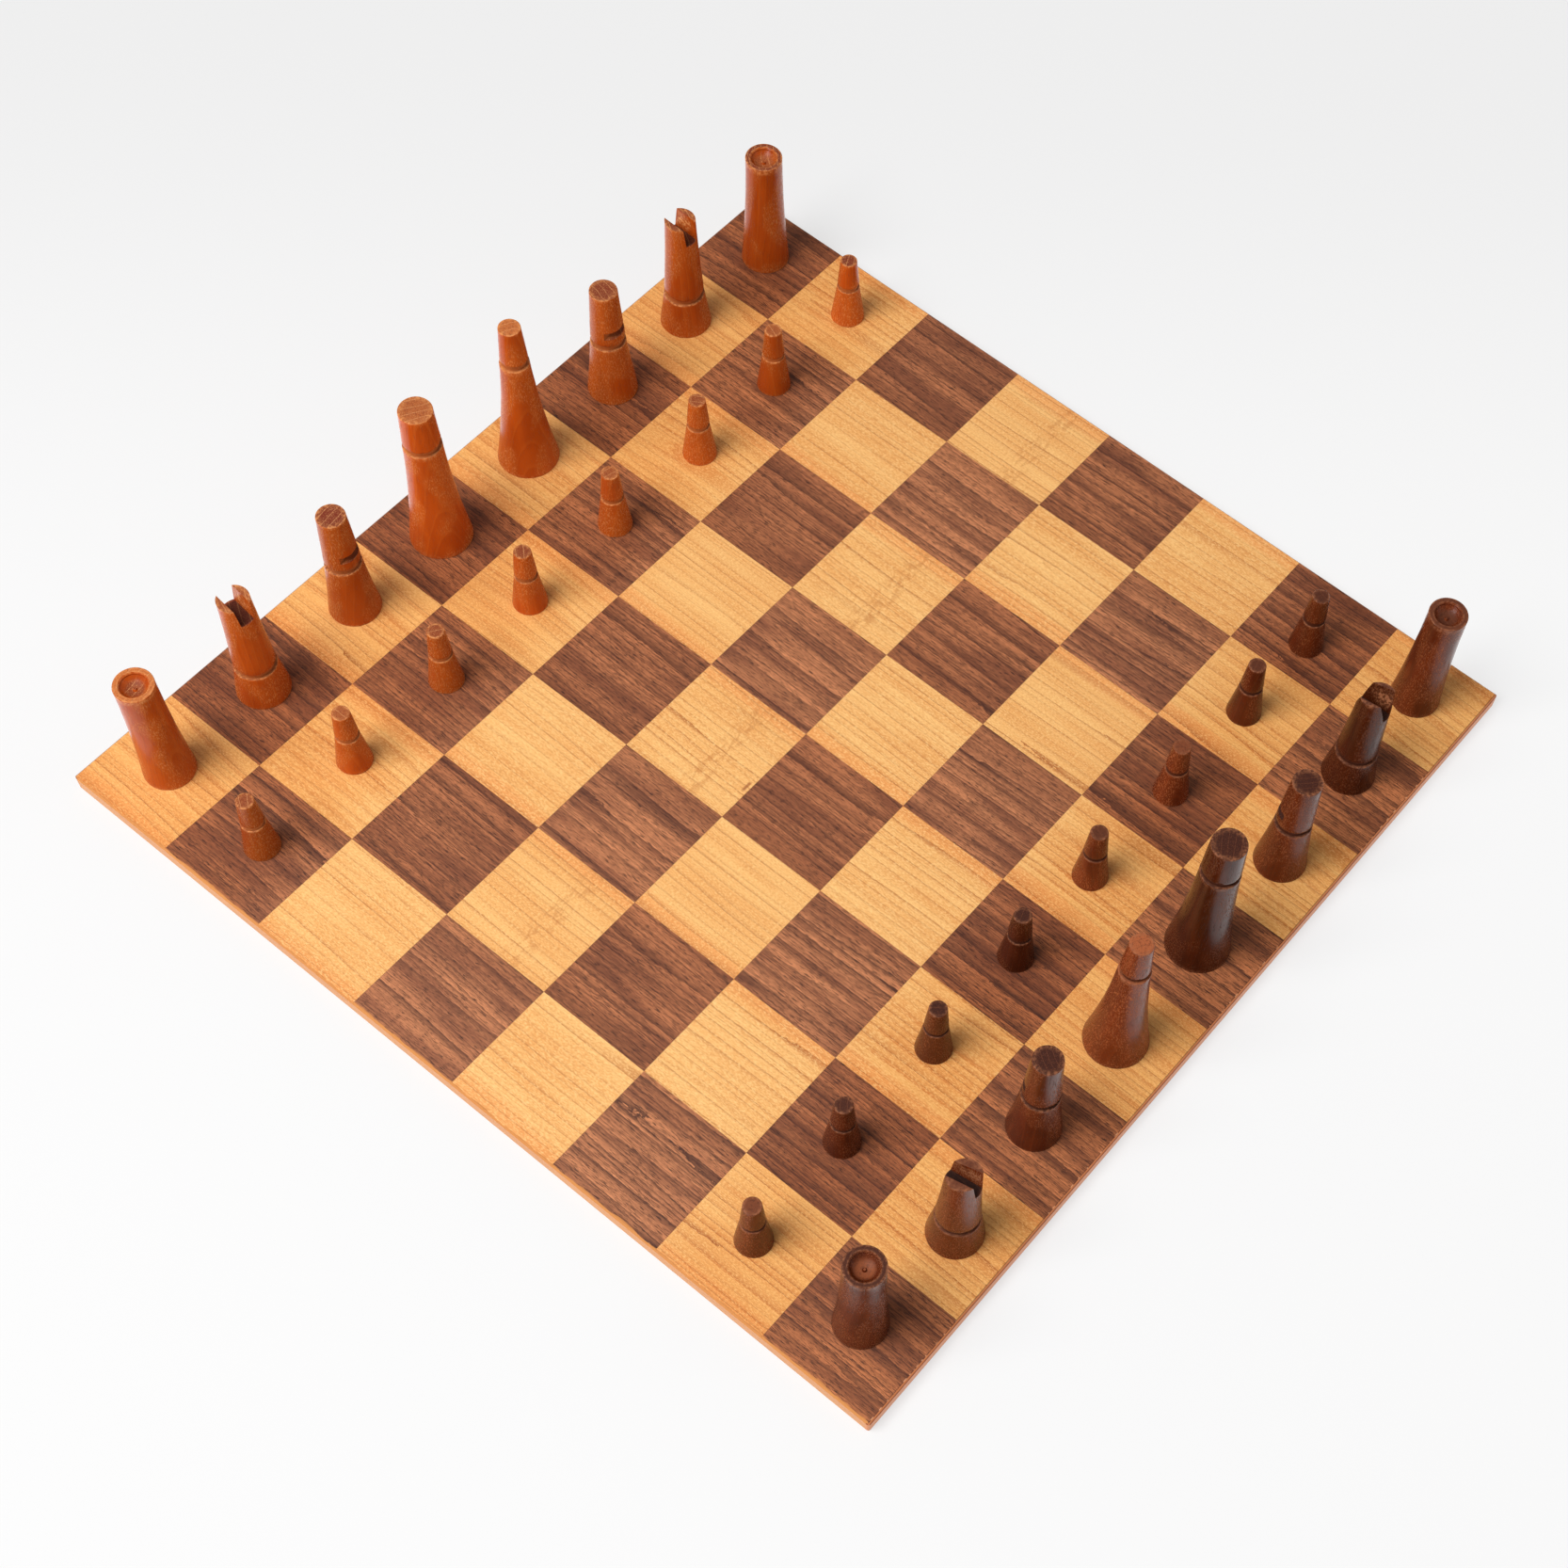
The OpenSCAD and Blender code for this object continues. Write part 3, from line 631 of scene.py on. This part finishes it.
def light_veneer(lay_group, lines_group, rim_group):
    """Pale veneer: bold and fine lines, fibre, and a broad flame that is stronger at the outer ranks."""
    material, w, shader = new_material("light_veneer")
    at = w.node("ShaderNodeTexCoord").outputs["Object"]
    lay = w.place(lay_group, {"Position": at, "Drift": 0.35})
    point = lay["Leaf point"]
    broad = w.noise(w.stretch(point, 0.10, 0.012, 1.0))
    base = w.blend(w.ramp(broad, 0.3, 0.7), srgb(240, 178, 108), srgb(252, 200, 130))
    side = w.ramp(w.add(lay["Across"], w.times(w.minus(broad, 0.5), 0.2)), 0.34, 0.42)
    base = w.blend(w.times(side, 0.60), base, srgb(240, 158, 90))
    bold = w.place(lines_group, {"Leaf point": point, "Spacing": 3.5, "Wander": 16.0, "Curve": 4.0,
                                 "Ripple": 0.5, "Sharpness": 7.0})["Lines"]
    fine = w.place(lines_group, {"Leaf point": w.vector("ADD", point, (31.0, 7.0, 3.0)), "Spacing": 1.2,
                                 "Wander": 16.0, "Curve": 4.0, "Ripple": 0.45, "Sharpness": 3.5})["Lines"]
    flame = w.place(lines_group, {"Leaf point": point, "Spacing": 7.0, "Wander": 20.0, "Curve": 12.0,
                                  "Ripple": 0.5, "Sharpness": 3.0})["Lines"]
    fibre = w.noise(w.stretch(point, 3.0, 0.9, 1.0), detail=2.0, roughness=0.6)
    base = w.blend(w.times(flame, w.ramp(lay["Outer"], 0.0, 1.0, 0.2, 0.75)), base, srgb(206, 122, 54))
    base = w.blend(w.times(bold, 0.95), base, srgb(164, 86, 36))
    base = w.blend(w.times(fine, 0.40), base, srgb(190, 120, 60))
    base = w.blend(w.ramp(fibre, 0.34, 0.52, 0.30, 0.0), base, srgb(198, 130, 70))
    base = w.blend(w.ramp(fibre, 0.50, 0.64, 0.0, 0.60), base, srgb(255, 218, 154))
    x, y, _ = w.split(w.in_mm(at))
    figure = w.noise(w.join(w.times(x, 0.16), w.times(y, 0.35), 4.0), detail=3.0, roughness=0.65)
    row = w.fade(w.gap(y, CROSS_FIGURE_Y), 2.0, 6.5)
    base = w.blend(w.times(row, w.ramp(figure, 0.46, 0.60), 0.38), base, srgb(190, 118, 58))
    mark = w.times(w.fade(w.gap(y, MARK_Y), 0.3, 0.9), w.fade(w.gap(x, MARK_X), 1.5, 3.2))
    base = w.blend(w.times(mark, 0.7), base, srgb(150, 70, 30))
    # Painted shade: the outer ranks, where the pieces stand, are darkened and warmed
    shade = w.blend(lay["Outer"], (0.90, 0.84, 0.76, 1), (0.86, 0.73, 0.57, 1))
    base = w.shaded(base, shade)
    base = w.place(rim_group, {"Position": at, "Colour": base, "Dark wood": 0.0})["Colour"]
    finish_wood(w, shader, base, w.ramp(fibre, 0.3, 0.7, 0.44, 0.54), fibre, 0.03 * MM)
    return material


def dark_veneer(lay_group, lines_group, rim_group):
    """Walnut veneer: broad bands, sharp lines, fibre, and pores and dashes cut along their length."""
    material, w, shader = new_material("dark_veneer")
    at = w.node("ShaderNodeTexCoord").outputs["Object"]
    lay = w.place(lay_group, {"Position": at, "Drift": 0.3})
    point = lay["Leaf point"]
    broad = w.noise(w.stretch(point, 0.12, 0.014, 1.0), detail=3.0, roughness=0.6)
    base = w.blend(w.ramp(broad, 0.34, 0.62), srgb(150, 95, 66), srgb(204, 137, 94))
    side = w.ramp(lay["Across"], 0.2, 0.5)
    base = w.blend(w.times(side, 0.45), base, srgb(186, 122, 80))
    bands = w.place(lines_group, {"Leaf point": point, "Spacing": 6.5, "Wander": 18.0, "Curve": 6.0,
                                  "Ripple": 0.9, "Sharpness": 2.2})["Lines"]
    lines = w.place(lines_group, {"Leaf point": w.vector("ADD", point, (11.0, 5.0, 7.0)), "Spacing": 1.9,
                                  "Wander": 18.0, "Curve": 6.0, "Ripple": 0.7, "Sharpness": 3.6})["Lines"]
    pores = w.noise(w.stretch(point, 2.8, 0.22, 1.0), detail=3.0, roughness=0.65)
    fibre = w.noise(w.stretch(point, 6.0, 0.40, 1.0), detail=2.0)
    base = w.blend(w.times(bands, 0.88), base, srgb(82, 47, 35))
    base = w.blend(w.times(lines, 0.95), base, srgb(62, 36, 29))
    base = w.blend(w.ramp(fibre, 0.35, 0.62, 0.45, 0.0), base, srgb(96, 56, 40))
    base = w.blend(w.ramp(pores, 0.55, 0.62, 0.0, 0.70), base, srgb(64, 34, 25))
    dashes = w.noise(w.stretch(w.vector("ADD", point, (3.0, 8.0, 1.0)), 4.6, 0.30, 1.0), detail=1.0)
    base = w.blend(w.ramp(dashes, 0.61, 0.67, 0.0, 0.85), base, srgb(44, 27, 23))
    # Painted sheen: odd ranks lighter and even ranks darker, as rows turned end for end give back the light
    shade = w.blend(lay["Odd rank"], (0.90, 0.77, 0.70, 1), (1.09, 1.01, 0.96, 1))
    base = w.shaded(base, shade)
    # Painted shade: the outer ranks, where the pieces stand, are darkened and warmed
    base = w.blend(lay["Outer"], base, w.shaded(base, (0.90, 0.79, 0.67, 1)))
    base = w.place(rim_group, {"Position": at, "Colour": base, "Dark wood": 1.0})["Colour"]
    finish_wood(w, shader, base, w.ramp(fibre, 0.3, 0.7, 0.46, 0.58), w.minus(1.0, pores), 0.04 * MM)
    return material


# Each strip: whether it runs along X, its tint, and the tint of its eased top edge
STRIPS = {
    "near": (True, srgb(208, 140, 84), srgb(150, 88, 52)),
    "far": (True, srgb(212, 132, 78), srgb(146, 80, 46)),
    "left": (False, srgb(208, 140, 84), srgb(150, 88, 52)),
    "right": (False, srgb(207, 143, 85), srgb(196, 128, 66)),
}


def strip_wood(name, along_x, tint, arris):
    """A planed strip under the veneer, with its own tint and the tint of its eased top edge."""
    material, w, shader = new_material(name)
    at = w.in_mm(w.node("ShaderNodeTexCoord").outputs["Object"])
    stretched = (0.03, 1.2, 1.2) if along_x else (1.2, 0.03, 1.2)
    fibre = w.noise(w.stretch(at, *stretched), detail=3.0)
    base = w.blend(w.ramp(fibre, 0.3, 0.7, 0.7, 1.0), srgb(180, 112, 66), tint)
    level = w.split(at)[2]
    base = w.blend(w.ramp(level, VENEER_BACK - 0.45, VENEER_BACK - 0.3), base, arris)
    finish_wood(w, shader, base, 0.5, fibre, 0.03 * MM)
    return material


def core_panel():
    """The plain panel that the veneers and strips are glued to."""
    material, w, shader = new_material("core_panel")
    at = w.in_mm(w.node("ShaderNodeTexCoord").outputs["Object"])
    fibre = w.noise(w.stretch(at, 0.5, 0.02, 0.5), detail=4.0)
    base = w.blend(w.ramp(fibre, 0.3, 0.7), srgb(186, 150, 108), srgb(206, 174, 132))
    finish_wood(w, shader, base, 0.6, fibre, 0.05 * MM)
    return material


def turned_wood():
    """Solid teak in its stick: faint rings, flecks and pores on the side, ring lines on the end grain."""
    colours = ("Side", "Deep", "Pale", "Fleck colour", "Pore", "Cut", "End", "End pale", "End line",
               "Worn edge")
    w, given, out = new_tree(
        "turned wood", "ShaderNodeTree",
        {"In stick": "Vector", "Normal": "Vector", "Cut in": "Float", "Edge": "Float", "Tone": "Float",
         "Top tone": "Float", "Fleck": "Float", "Ring": "Float", **{c: "Color" for c in colours}},
        {"Colour": "Color", "Roughness": "Float", "Height": "Float"})
    point = given["In stick"]
    sway = w.noise(w.stretch(point, 0.05, 0.05, 0.018), detail=2.0)
    x, y, z = w.split(point)
    depth = w.math("SQRT", w.add(w.times(x, x), w.times(y, y)))
    depth = w.add(depth, w.times(w.minus(sway, 0.5), 6.0), w.times(z, 0.06))
    ring = w.math("FRACT", w.over(depth, given["Ring"]))
    early = w.times(w.ramp(ring, 0.0, 0.06), w.fade(ring, 0.10, 0.24))
    late = w.math("POWER", ring, 5.0)
    tone = w.noise(w.stretch(point, 0.16, 0.16, 0.03), detail=3.0)
    side = w.blend(w.ramp(tone, 0.35, 0.65, 0.55, 0.0), given["Side"], given["Deep"])
    side = w.blend(w.times(late, 0.35), side, given["Deep"])
    side = w.blend(w.times(early, 0.12), side, given["Pale"])

    # Vessels cut along their length show as short curly dashes, dark or filled pale
    wavy = w.noise(w.stretch(point, 0.5, 0.5, 0.22), detail=2.0)
    bent = w.vector("ADD", point, w.join(w.times(w.minus(wavy, 0.5), 2.2), w.times(wavy, 1.4), 0.0))
    vessels = w.noise(w.stretch(bent, 3.1, 3.1, 0.75), detail=1.0)
    zone = w.noise(w.stretch(point, 0.09, 0.09, 0.05), detail=1.0)
    patch = w.ramp(w.add(zone, w.times(given["Fleck"], 0.22)), 0.50, 0.66)
    dashes = w.times(w.ramp(vessels, 0.54, 0.63), patch)
    pores = w.noise(w.stretch(w.vector("ADD", point, (9.0, 4.0, 2.0)), 3.0, 3.0, 0.16), detail=1.5)
    pores = w.ramp(pores, 0.60, 0.72)
    side = w.blend(w.times(patch, 0.15), side, given["Pale"])
    side = w.blend(w.times(pores, 0.32), side, given["Pore"])
    side = w.blend(w.times(dashes, 0.50), side, given["Fleck colour"])

    # End grain: dark, with a paler line of vessels along the start of each ring
    dots = w.noise(w.stretch(point, 3.4, 3.4, 0.2), detail=1.0)
    rays = w.noise(w.stretch(point, 1.1, 1.1, 0.2), detail=3.0, roughness=0.7)
    end = w.blend(given["Top tone"], given["End"], given["End pale"])
    end = w.blend(w.ramp(rays, 0.36, 0.5, 0.5, 0.0), end, given["End"])
    seen = w.times(0.75, w.minus(1.0, given["Cut in"]))
    thin = w.times(w.ramp(ring, 0.02, 0.06), w.fade(ring, 0.08, 0.15))
    end = w.blend(w.times(thin, w.ramp(dots, 0.38, 0.52, 0.3, 1.0), seen), end, given["End line"])
    end = w.blend(w.ramp(dots, 0.56, 0.66, 0.0, 0.45), end, given["End line"])
    facing = w.ramp(w.math("ABSOLUTE", w.split(given["Normal"])[2]), 0.72, 0.92)
    # Top tone under nothing darkens the end grain; a slot's floor is darkened this way as painted shade
    dim = w.ramp(given["Top tone"], -1.0, 0.0, 0.42, 1.0)
    end = w.shaded(end, w.join(dim, w.times(dim, 0.92), w.times(dim, 0.84)))
    side = w.shaded(side, w.join(given["Tone"], given["Tone"], given["Tone"]))
    colour = w.blend(facing, side, end)
    colour = w.blend(w.times(given["Cut in"], 0.75), colour, given["Cut"])
    # Edges take the pale colour: partly real wear, partly a painted highlight
    rub = w.ramp(w.noise(w.stretch(point, 0.8, 0.8, 0.8), detail=3.0), 0.42, 0.62, 0.15, 1.0)
    colour = w.blend(w.times(given["Edge"], rub, 0.7), colour, given["Worn edge"])
    w.put(colour, out["Colour"])
    matt = w.math("MAXIMUM", w.math("MAXIMUM", dashes, given["Cut in"]), w.times(pores, 0.8))
    matt = w.math("MAXIMUM", matt, facing)
    w.put(w.ramp(matt, 0.0, 1.0, 0.22, 0.52), out["Roughness"])
    w.put(w.minus(1.0, w.math("MAXIMUM", dashes, pores)), out["Height"])
    return w.tree


# The two sides' teak: its colours, and the width of a ring in millimetres
LIGHT_TEAK = {
    "Side": srgb(182, 77, 17), "Deep": srgb(158, 60, 13), "Pale": srgb(206, 118, 50),
    "Fleck colour": srgb(212, 136, 74), "Pore": srgb(112, 42, 11), "Cut": srgb(172, 98, 50),
    "End": srgb(118, 50, 32), "End pale": srgb(190, 110, 56), "End line": srgb(214, 156, 106),
    "Worn edge": srgb(220, 146, 86), "Ring": 2.9,
}
DARK_TEAK = {
    "Side": srgb(96, 37, 12), "Deep": srgb(62, 23, 8), "Pale": srgb(128, 60, 28),
    "Fleck colour": srgb(158, 88, 48), "Pore": srgb(36, 14, 7), "Cut": srgb(66, 32, 20),
    "End": srgb(62, 32, 24), "End pale": srgb(166, 94, 58), "End line": srgb(112, 66, 46),
    "Worn edge": srgb(156, 98, 66), "Ring": 2.6,
}


def teak(name, group, palette):
    """A side's wood: what each piece keeps on its mesh goes into the shared group."""
    material, w, shader = new_material(name)

    def kept(attribute, output="Fac"):
        return w.node("ShaderNodeAttribute", attribute_name=attribute).outputs[output]

    wood = w.place(group, {
        "In stick": kept("in_stick", "Vector"), "Cut in": kept("cut_in"), "Edge": kept("edge"),
        "Tone": kept("tone"), "Top tone": kept("top_tone"), "Fleck": kept("fleck"),
        "Normal": w.node("ShaderNodeNewGeometry").outputs["Normal"], **palette})
    finish_wood(w, shader, wood["Colour"], wood["Roughness"], wood["Height"], 0.05 * MM, gloss=0.16)
    return material


def dress(node, material):
    """Puts a material on a node that comes over from the frame."""
    mesh = frame["nodes"][node].data
    mesh.materials.clear()
    mesh.materials.append(material)


# The table and the light

# Half the table's width and how far it lies under the board, in metres
TABLE_HALF = 3.0
TABLE_DROP = 0.0002

# The table's own glow: the way it dims, up the picture; how it rises away from the large lamp; how much
# stronger it is in a reflection; and its share of what is seen of the table
GLOW_AWAY = (-0.76, -0.65)
GLOW_FROM_LAMP = 0.076
GLOW_REFLECTED = 0.7
GLOW_SHARE = 0.72


def table_top():
    """A pale table top that fills the camera's own view; it keeps only a soft shadow."""
    mesh = bpy.data.meshes.new("table_top")
    half = TABLE_HALF
    corners = [(-half, -half, 0), (half, -half, 0), (half, half, 0), (-half, half, 0)]
    mesh.from_pydata(corners, [], [(0, 1, 2, 3)])
    obj = bpy.data.objects.new("table_top", mesh)
    obj.location.z = -TABLE_DROP
    bpy.context.scene.collection.objects.link(obj)
    material, w, shader = new_material("table_top")
    shader.inputs["Base Color"].default_value = (0.90, 0.90, 0.905, 1)
    shader.inputs["Roughness"].default_value = 0.9
    shader.inputs["Specular IOR Level"].default_value = 0.0
    at = w.node("ShaderNodeTexCoord").outputs["Object"]
    x, y, _ = w.split(at)
    away = w.add(w.times(x, GLOW_AWAY[0]), w.times(y, GLOW_AWAY[1]))
    from_lamp = w.times(w.minus(y, x), GLOW_FROM_LAMP)
    strength = w.add(w.ramp(away, 0.025, 0.375, 0.907, 0.823), from_lamp)
    path = w.node("ShaderNodeLightPath").outputs
    strength = w.times(strength, w.add(1.0, w.times(path["Is Glossy Ray"], GLOW_REFLECTED)))
    glow = w.node("ShaderNodeEmission", {"Strength": strength})
    seen = w.math("MAXIMUM", path["Is Camera Ray"], path["Is Glossy Ray"])
    mixed = w.node("ShaderNodeMixShader", [w.times(seen, GLOW_SHARE), shader.outputs[0], glow.outputs[0]])
    output = [n for n in w.tree.nodes if n.bl_idname == "ShaderNodeOutputMaterial"][0]
    w.put(mixed.outputs[0], output.inputs[0])
    mesh.materials.append(material)


def softbox(name, place, size, power):
    """A soft lamp that faces the middle of the board."""
    data = bpy.data.lights.new(name, "AREA")
    data.shape = "RECTANGLE"
    data.size, data.size_y = size
    data.energy = power
    obj = bpy.data.objects.new(name, data)
    aim = (-Vector(place)).to_track_quat("-Z", "Y").to_matrix().to_4x4()
    obj.matrix_world = Matrix.Translation(place) @ aim
    bpy.context.scene.collection.objects.link(obj)


def studio():
    """A room pale near the floor and dim overhead, a large lamp at the left and a weak one at the right."""
    world = bpy.data.worlds.new("studio")
    bpy.context.scene.world = world
    world.use_nodes = True
    w = Wiring(world.node_tree)
    background = world.node_tree.nodes["Background"]
    upward = w.split(w.node("ShaderNodeTexCoord").outputs["Generated"])[2]
    w.put((1.0, 0.985, 0.965, 1), background.inputs["Color"])
    w.put(w.ramp(upward, 0.05, 0.75, 0.80, 0.20), background.inputs["Strength"])
    softbox("lamp_left", place=(1.02, -0.42, 1.75), size=(1.15, 1.15), power=47.5)
    softbox("lamp_far", place=(-0.9, 1.3, 0.9), size=(0.7, 1.2), power=1.8)


def camera():
    data = bpy.data.cameras.new("camera")
    data.lens = LENS
    data.sensor_width = SENSOR
    data.shift_x, data.shift_y = SHIFT
    obj = bpy.data.objects.new("camera", data)
    right = LOOK.cross(UPWARD).normalized()
    turn = Matrix((right, right.cross(LOOK), -LOOK)).transposed()
    obj.matrix_world = Matrix.Translation(EYE) @ turn.to_4x4()
    bpy.context.scene.collection.objects.link(obj)
    bpy.context.scene.camera = obj


camera()
studio()
table_top()
lay = veneer_lay()
lines = growth_lines()
rim = worn_and_shaded_rim()
dress("light_squares", light_veneer(lay, lines, rim))
dress("walnut_squares", dark_veneer(lay, lines, rim))
dress("board_core", core_panel())
for edge, (along_x, tint, arris) in STRIPS.items():
    dress(edge + "_edge_band", strip_wood(edge + "_strip", along_x, tint, arris))

wood_group = turned_wood()
light_teak = teak("light_teak", wood_group, LIGHT_TEAK)
dark_teak = teak("dark_teak", wood_group, DARK_TEAK)
piece_tree = turned_piece()
for number, node in enumerate(STICKS):
    turn_piece(piece_tree, node, number, light_teak if node.startswith("light") else dark_teak)

bpy.context.scene.view_settings.view_transform = "Standard"
